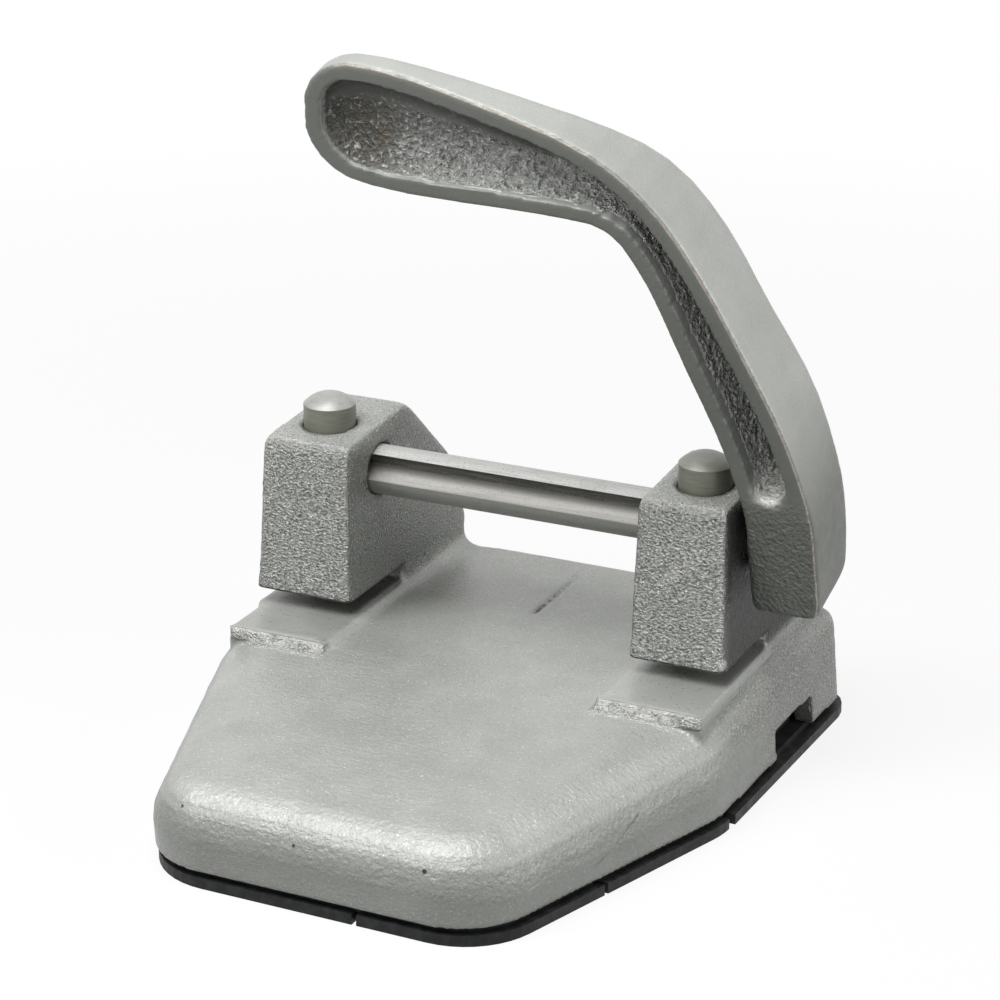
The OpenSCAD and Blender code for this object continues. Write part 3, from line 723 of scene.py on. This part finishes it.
def groove_mask(finish):
    """Painted shade and dirt in the groove, most of it near the front end."""
    aside = finish.vector("LENGTH", finish.vector("MULTIPLY", finish.place, (1, 0, 0)), (0, 0, 0))
    along = finish.vector("DOT_PRODUCT", finish.place, (0, 1, 0))
    above = finish.vector("DOT_PRODUCT", finish.place, (0, 0, 1))
    on_deck = finish.fleck(above, deck_z - 2 * mm, deck_z - 1.5 * mm)
    in_groove = finish.times(finish.fleck(aside, 0.6 * mm, 0.3 * mm),
                             finish.fleck(along, groove_front, groove_front + mm))
    fading = finish.times(finish.fleck(along, groove_rear, groove_front + 6 * mm), on_deck)
    even_dirt = finish.times(in_groove, fading)
    patchy = finish.fleck(finish.noise(0.9 * mm, 3), 0.38, 0.55, 0.15, 1.0)
    return finish.times(even_dirt, patchy)


def blow_hole_mask(finish, place, radius):
    return finish.fleck(finish.vector("DISTANCE", finish.place, place), radius, 0.6 * radius)


print(len(blow_holes), "blow holes, and a scratch of", round(scratch_length / mm, 1), "mm")

# %% Paint of the frame
silver = Finish("silver_paint_on_casting")
pebbles = silver.noise(0.5 * mm, 2, (0.85, 1, 1.1))
sand_grain = silver.noise(0.4 * mm, 3)
streaks = silver.noise(0.8 * mm, 4, (0.35, 1, 1))
colour = silver_coat(silver, 9 * mm, 0.7)
# Dirt and painted shade, where the skin keeps it.
colour = silver.tint(silver.times(silver.kept("grime"), 0.85), colour, dirt_and_shade_tone)
# Painted shade and dirt in the valleys between the pebbles.
colour = silver.tint(silver.times(silver.kept("pebble"), silver.fleck(pebbles, 0.5, 0.34, 0.0, 0.75)),
                     colour, crevice_shade_and_dirt)
# Painted glints on the pebbles' crests.
colour = silver.tint(silver.times(silver.kept("pebble"), silver.fleck(pebbles, 0.56, 0.68, 0.0, 0.7)),
                     colour, painted_glint)
# Painted shade and dirt in the pits of the sand.
colour = silver.tint(silver.times(silver.kept("sand"), silver.fleck(sand_grain, 0.46, 0.3, 0.0, 0.6)),
                     colour, crevice_shade_and_dirt)
# Painted glints on the grains of sand.
colour = silver.tint(silver.times(silver.kept("sand"), silver.fleck(sand_grain, 0.57, 0.69, 0.0, 0.68)),
                     colour, painted_glint)
# Painted highlight on the posts' upper and right front edges, in the colour of bare iron.
colour = silver.tint(silver.times(silver.kept("rolled"), 0.4), colour, bare_iron_and_highlight)
# Painted shade and dirt in the gap beside the lever.
colour = silver.tint(silver.kept("in_gap"), colour, gap_shade_and_dirt_black)
colour = silver.tint(silver.kept("worn"), colour, bare_iron_and_highlight)
colour = silver.tint(scratch_mask(silver), colour, crevice_shade_and_dirt)
colour = silver.tint(groove_mask(silver), colour, groove_shade_and_dirt)
for place, radius in blow_holes:
    colour = silver.tint(blow_hole_mask(silver, place, radius), colour, hole_black)
rough = silver.fleck(silver.noise(1.2 * mm, 3), 0.3, 0.7, 0.26, 0.36)
rough = silver.times(rough, silver.fleck(silver.kept("wavy"), 0, 1, 1.0, 1.5))
grain = silver.relief(silver.times(pebbles, silver.kept("pebble")), 1.7 * mm, 1.0)
grain = silver.relief(silver.times(sand_grain, silver.kept("sand")), 0.9 * mm, 0.95, grain)
grain = silver.relief(silver.times(silver.noise(0.9 * mm, 4), silver.kept("wavy")), 0.36 * mm, 0.8, grain)
as_cast = silver.fleck(silver.kept("sand"), 0, 0.1, 0.3, 1.0)
grain = silver.relief(silver.times(streaks, as_cast), 0.17 * mm, 0.8, grain)
dress(casting.data, silver.end(colour, rough, grain, paint_metal))

# %% [markdown]
# ### The lever's paint
# The lever has the same paint, but hands have rubbed it. Its sharp front edges that face right and up are
# bright lines with a hint of copper, partly wear and partly painted highlight. Its front and its lower sides
# are darker, partly dirt and partly painted shade. The hollow is rough iron with a little rust near the tip,
# with painted shade in its upper half and painted glints in its lower half. The edges are found in the paint
# from the distance behind the front face, which is a plane.

# %% Paint of the lever
lever_coat = Finish("silver_paint_on_lever")
lean_across = Vector((0, math.cos(lever_lean), math.sin(lever_lean)))
axis_depth = lean_across.dot(Vector((0, shaft_y, shaft_z)))
depth = lever_coat.vector("DOT_PRODUCT", lever_coat.place, lean_across)
edge_start = axis_depth + lever_face
edge_band = lever_coat.times(lever_coat.fleck(depth, edge_start + 0.15 * mm, edge_start + 0.22 * mm),
                             lever_coat.fleck(depth, edge_start + 0.45 * mm, edge_start + 0.35 * mm))
edge_band = lever_coat.times(edge_band, lever_coat.kept("outer_edge"))
patchy = lever_coat.fleck(lever_coat.noise(1.6 * mm, 4), 0.35, 0.55, 0.35, 0.85)
edge_wear_and_highlight = lever_coat.times(edge_band, patchy)
clods = lever_coat.noise(0.85 * mm, 3)
colour = silver_coat(lever_coat, 12 * mm, 0.15)
# Dirt and painted shade on the front and the lower sides.
colour = lever_coat.tint(lever_coat.times(lever_coat.kept("grime"), 0.85), colour, dirt_and_shade_tone)
colour = lever_coat.tint(lever_coat.kept("shade"), colour, hollow_shade)
# Painted shade in the low spots of the floor's bump.
dent_shade = lever_coat.times(lever_coat.kept("rough_floor"), lever_coat.fleck(clods, 0.46, 0.32, 0.0, 0.6))
colour = lever_coat.tint(dent_shade, colour, hollow_dent_shade)
glints = lever_coat.times(lever_coat.kept("rough_floor"), lever_coat.fleck(clods, 0.57, 0.67, 0.0, 0.85))
colour = lever_coat.tint(glints, colour, painted_glint)
colour = lever_coat.tint(lever_coat.kept("rust"), colour, rust_brown)
# Copper edge lines: partly wear, partly painted highlight.
colour = lever_coat.tint(edge_wear_and_highlight, colour, copper_wear_and_highlight)
colour = lever_coat.tint(lever_coat.kept("worn"), colour, bare_iron_and_highlight)
rough = lever_coat.fleck(lever_coat.noise(2.5 * mm, 3), 0.3, 0.7, 0.38, 0.5)
rough = lever_coat.times(rough, lever_coat.fleck(lever_coat.kept("rough_floor"), 0, 1, 1.0, 0.6))
grain = lever_coat.relief(lever_coat.times(clods, lever_coat.kept("rough_floor")), 1.6 * mm, 1.0)
stipple = lever_coat.times(lever_coat.noise(0.8 * mm, 3), lever_coat.kept("stipple"))
grain = lever_coat.relief(stipple, 0.9 * mm, 0.9, grain)
grain = lever_coat.relief(lever_coat.noise(0.45 * mm, 3), 0.15 * mm, 0.7, grain)
dress(lever.data, lever_coat.end(colour, rough, grain, paint_metal))

# %% [markdown]
# ## Steel that was turned, drawn and hardened
# The punches were turned in a lathe, so fine rings run round them. Their domed heads are painted lighter
# where they face up, a painted highlight, the left one more than the right, which has painted shade from the
# lever over it; the sides are darker and tarnished. The shaft is drawn bar, whose marks run lengthwise, along
# X. Bushes, washers, clip, pin and springs are darker steels that barely show. Stretching the noise along or
# round the axis gives the direction of the tool marks. Old steel scatters much of its light, so these
# finishes are only partly metallic.

# %% Steel finishes
mark_size, mark_depth = 0.5 * mm, 0.01 * mm


def steel(name, bright, dull, marks, roughness, metallic=0.4, mask=None):
    """Steel with tool marks; a mask function, if given, says where it is bright rather than dull."""
    finish = Finish(name)
    streak = finish.noise(mark_size, 3, marks)
    stain = finish.fleck(finish.noise(2.4 * mm, 3), 0.4, 0.7)
    pale = tuple(0.75 * b + 0.25 * d for b, d in zip(bright, dull))
    colour = finish.tint(finish.fleck(streak, 0.3, 0.7), pale, bright)
    if mask:
        dark = tuple(0.7 * d for d in dull)
        colour = finish.tint(mask(finish), finish.tint(finish.fleck(streak, 0.3, 0.7), dark, dull), colour)
    colour = finish.tint(finish.times(stain, 0.4), colour, dull)
    rough = finish.fleck(streak, 0.25, 0.75, roughness - 0.07, roughness + 0.09)
    return finish.end(colour, rough, finish.relief(streak, mark_depth, 0.5), metallic)


def painted_dome_light(finish):
    """Painted highlight: 1 where the left punch's head faces up, less on the right one, which lies in the
    lever's shade, 0 on the sides.
    """
    facing = finish.nodes.new("ShaderNodeTexCoord").outputs["Normal"]
    top = finish.fleck(finish.vector("DOT_PRODUCT", facing, (0, 0, 1)), 0.35, 0.75)
    side = finish.vector("DOT_PRODUCT", finish.place, (1, 0, 0))
    return finish.times(top, finish.fleck(side, -mm, mm, 1.0, 0.45))


punch_steel = steel("turned_punch_steel", bright=(0.455, 0.455, 0.44), dull=(0.235, 0.24, 0.195),
                    marks=(0.15, 0.15, 2.5), roughness=0.43, metallic=0.3, mask=painted_dome_light)

# %% [markdown]
# The shaft shows one flute between two lands. The upper land is pale and matt, the lower one darker, as
# painted light and shade. High in the flute, under the land's edge, is painted shade, and the lower lip has a
# painted highlight. So its colour follows the distance from the axis, which tells land from flute, and the
# distance across the flute.

# %% Steel of the shaft
flute_turn = math.radians(23)
flute_shade, flute_lip_highlight = (0.045, 0.045, 0.038), (0.52, 0.51, 0.48)
land_shaded, land_lit = (0.30, 0.305, 0.285), (0.56, 0.56, 0.545)
drawn_grey, pit_grey = (0.22, 0.215, 0.19), (0.16, 0.16, 0.14)
shaft_coat = Finish("drawn_shaft_steel")
from_axis = shaft_coat.vector("SUBTRACT", shaft_coat.place, (0, shaft_y, shaft_z))
down_flute = shaft_coat.vector("DOT_PRODUCT", from_axis, (0, -math.sin(flute_turn), -math.cos(flute_turn)))
from_axis_only = shaft_coat.vector("LENGTH", shaft_coat.vector("MULTIPLY", from_axis, (0, 1, 1)), (0, 0, 0))
on_land = shaft_coat.fleck(from_axis_only, 0.95 * shaft_r, 0.99 * shaft_r)
drawn_marks = shaft_coat.noise(0.5 * mm, 3, (0.05, 1.2, 1.2))
pits = shaft_coat.noise(0.35 * mm, 3)
flute = shaft_coat.tint(shaft_coat.fleck(down_flute, -1.0 * mm, 2.0 * mm), flute_shade, flute_lip_highlight)
land = shaft_coat.tint(shaft_coat.fleck(down_flute, 2.6 * mm, -2.4 * mm), land_shaded, land_lit)
colour = shaft_coat.tint(on_land, flute, land)
colour = shaft_coat.tint(shaft_coat.fleck(drawn_marks, 0.45, 0.7, 0.0, 0.4), colour, drawn_grey)
colour = shaft_coat.tint(shaft_coat.fleck(pits, 0.44, 0.3, 0.0, 0.6), colour, pit_grey)
rough = shaft_coat.fleck(pits, 0.25, 0.75, 0.42, 0.58)
grain = shaft_coat.relief(drawn_marks, 0.03 * mm, 0.6, shaft_coat.relief(pits, 0.12 * mm, 0.7))
shaft_steel = shaft_coat.end(colour, rough, grain, 0.15)

# %% Plainer steels
no_direction = (1, 1, 1)
bush_steel = steel("hardened_bush_steel", bright=(0.42, 0.42, 0.42), dull=(0.22, 0.22, 0.21),
                   marks=no_direction, roughness=0.32)
oily_steel = steel("oily_washer_steel", bright=(0.06, 0.06, 0.055), dull=(0.03, 0.03, 0.027),
                   marks=no_direction, roughness=0.5)
spring_steel = steel("oiled_spring_steel", bright=(0.30, 0.30, 0.29), dull=(0.14, 0.14, 0.13),
                     marks=no_direction, roughness=0.4)

for node, finish in [("left_punch", punch_steel), ("right_punch", punch_steel), ("pinion_shaft", shaft_steel),
                     ("left_die_bush", bush_steel), ("right_die_bush", bush_steel),
                     ("thrust_washers", oily_steel), ("shaft_clip", spring_steel), ("lever_pin", bush_steel)]:
    dress(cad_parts[node].data, finish)

# %% [markdown]
# ## The return springs
# A coil spring in each post lifts its punch again. When the lever comes down, the punch's collar presses the
# coil to half its height. Each coil is wound here as a piece of its own, from a ring of points carried along
# a helix.

# %% Wind the return springs
wire, turns, around, per_turn = 0.9 * mm, 3.5, 10, 28


def wind_spring(side):
    low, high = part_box(side + "_return_spring")
    middle_x, coil_r = (low.x + high.x) / 2, (high.x - low.x) / 2 - wire / 2
    steps = int(turns * per_turn)
    points, faces = [], []
    for i in range(steps + 1):
        turn = 2 * math.pi * i / per_turn
        height = low.z + wire / 2 + (high.z - low.z - wire) * i / steps
        for j in range(around):
            lean = 2 * math.pi * j / around
            reach = coil_r + wire / 2 * math.cos(lean)
            points.append((middle_x + reach * math.cos(turn), reach * math.sin(turn),
                           height + wire / 2 * math.sin(lean)))
    for i in range(steps):
        for j in range(around):
            a, b = i * around + j, i * around + (j + 1) % around
            faces.append((a, a + around, b + around, b))
    faces += [tuple(range(around)), tuple(reversed(range(steps * around, steps * around + around)))]
    mesh = bpy.data.meshes.new(side + "_coil")
    mesh.from_pydata(points, [], faces)
    mesh.polygons.foreach_set("use_smooth", np.ones(len(mesh.polygons), bool))
    mesh.materials.append(spring_steel)
    spring = bpy.data.objects.new(side + "_coil", mesh)
    bpy.context.scene.collection.objects.link(spring)
    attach(spring, "frame")
    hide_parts(side + "_return_spring")
    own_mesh(spring)
    print(spring.name, "stands", round((high.z - low.z) / mm, 2), "mm high at rest")


wind_spring("left")
wind_spring("right")

# %% [markdown]
# ## The chip tray
# The tray is moulded in black plastic, soft enough to grip the casting. Handling leaves it slightly dusty
# and scuffed, so the black is broken by a grey haze and its gloss is uneven.

# %% Black plastic
tray_black, tray_dust = (0.011, 0.0115, 0.012), (0.036, 0.038, 0.038)
tray = Finish("black_tray_plastic")
haze = tray.fleck(tray.noise(2.2 * mm, 4), 0.42, 0.75)
colour = tray.tint(haze, tray_black, tray_dust)
rough = tray.fleck(tray.noise(0.8 * mm, 3), 0.3, 0.7, 0.42, 0.62)
grain = tray.relief(tray.noise(0.3 * mm, 2), 0.03 * mm, 0.4)
dress(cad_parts["chip_tray"].data, tray.end(colour, rough, grain, metallic=0.0, specular=0.25))

# %% [markdown]
# ## Floor, light and background
# The picture has a plain white ground. The floor is pale and matt and keeps a soft shadow, and its own glow
# towards the camera, and towards shiny faces, lifts it to white without lighting the punch any more. The glow
# is weaker near the punch, where the shadow lies. The world does the same. The light is one broad panel
# overhead, a weaker one from the left front, and one low on the right.

# %% Floor
def shown_ray(nodes, links):
    """1 for rays from the camera, from shiny faces and through clear ones, else 0."""
    path = nodes.new("ShaderNodeLightPath")
    total = path.outputs["Is Camera Ray"]
    for ray in ("Is Glossy Ray", "Is Transmission Ray"):
        total = two_numbers(nodes, links, "MAXIMUM", total, path.outputs[ray])
    return total


floor_half = 3
floor_grey, floor_pale = 0.3, 0.85
shadow_reach, glow_reach, shadow_glow = 0.12, 0.5, 0.85
floor_mesh = bpy.data.meshes.new("floor")
floor_mesh.from_pydata([(-floor_half, -floor_half, 0), (floor_half, -floor_half, 0),
                        (floor_half, floor_half, 0), (-floor_half, floor_half, 0)], [], [(0, 1, 2, 3)])
floor = bpy.data.objects.new("floor", floor_mesh)
bpy.context.scene.collection.objects.link(floor)
matt = bpy.data.materials.new("pale_floor")
matt.use_nodes = True
nodes, links = matt.node_tree.nodes, matt.node_tree.links
nodes.remove(nodes["Principled BSDF"])
shown = shown_ray(nodes, links)
pale = nodes.new("ShaderNodeBsdfDiffuse")
links.new(new_range(nodes, links, shown, 0, 1, floor_grey, floor_pale), pale.inputs["Color"])
glow = nodes.new("ShaderNodeEmission")
mix = nodes.new("ShaderNodeMixShader")
away = nodes.new("ShaderNodeVectorMath")
away.operation = "LENGTH"
links.new(nodes.new("ShaderNodeTexCoord").outputs["Object"], away.inputs[0])
near_share = new_range(nodes, links, away.outputs["Value"], shadow_reach, glow_reach, shadow_glow, 1.0)
links.new(two_numbers(nodes, links, "MULTIPLY", shown, near_share), mix.inputs[0])
links.new(pale.outputs[0], mix.inputs[1])
links.new(glow.outputs[0], mix.inputs[2])
links.new(mix.outputs[0], nodes["Material Output"].inputs["Surface"])
floor_mesh.materials.append(matt)
print("floor of", 2 * floor_half, "m made")

# %% World
world_light, world_white = 0.03, 1.0
world = bpy.data.worlds.new("studio")
bpy.context.scene.world = world
world.use_nodes = True
nodes, links = world.node_tree.nodes, world.node_tree.links
background = nodes["Background"]
background.inputs["Color"].default_value = (1, 1, 1, 1)
strength = new_range(nodes, links, shown_ray(nodes, links), 0, 1, world_light, world_white)
links.new(strength, background.inputs["Strength"])
print("world lights the punch with strength", world_light)

# %% Light panels
def panel(name, place, target, size, power):
    lamp = bpy.data.lights.new(name, "AREA")
    lamp.shape = "DISK"
    lamp.size = size
    lamp.energy = power
    holder = bpy.data.objects.new(name, lamp)
    bpy.context.scene.collection.objects.link(holder)
    holder.location = place
    holder.rotation_euler = (Vector(target) - Vector(place)).to_track_quat("-Z", "Y").to_euler()
    print(name, "at", place, "gives", power, "W")


middle = (0, -0.02, 0.05)
panel("overhead_panel", (0.0, -0.25, 0.72), middle, size=0.5, power=4.35)
panel("left_front_panel", (-0.30, -0.42, 0.55), middle, size=0.4, power=2.45)
panel("right_panel", (0.65, 0.05, 0.25), middle, size=0.4, power=1.65)

# %% [markdown]
# ## The camera
# The view was worked out from the straight edges of the posts, the pads and the base: the camera stands to
# the right of the middle, twenty-five degrees round, and looks down by twenty-one.

# %% Camera at the photograph's angle
azimuth, elevation, roll = math.radians(25.30), math.radians(20.86), math.radians(0.09)
camera_place = (0.22615, -0.48401, 0.2529)
right = Vector((math.cos(azimuth), math.sin(azimuth), 0))
back = Vector((math.sin(azimuth) * math.cos(elevation), -math.cos(azimuth) * math.cos(elevation),
               math.sin(elevation)))
up = back.cross(right)
camera_data = bpy.data.cameras.new("camera")
camera_data.sensor_width = 36
camera_data.lens = 105.94
camera = bpy.data.objects.new("camera", camera_data)
bpy.context.scene.collection.objects.link(camera)
turn = Matrix((right, up, back)).transposed().to_4x4() @ Matrix.Rotation(roll, 4, "Z")
camera.matrix_world = Matrix.Translation(camera_place) @ turn
bpy.context.scene.camera = camera
bpy.context.scene.view_settings.view_transform = "Standard"
print("camera", [round(c, 3) for c in camera.location])
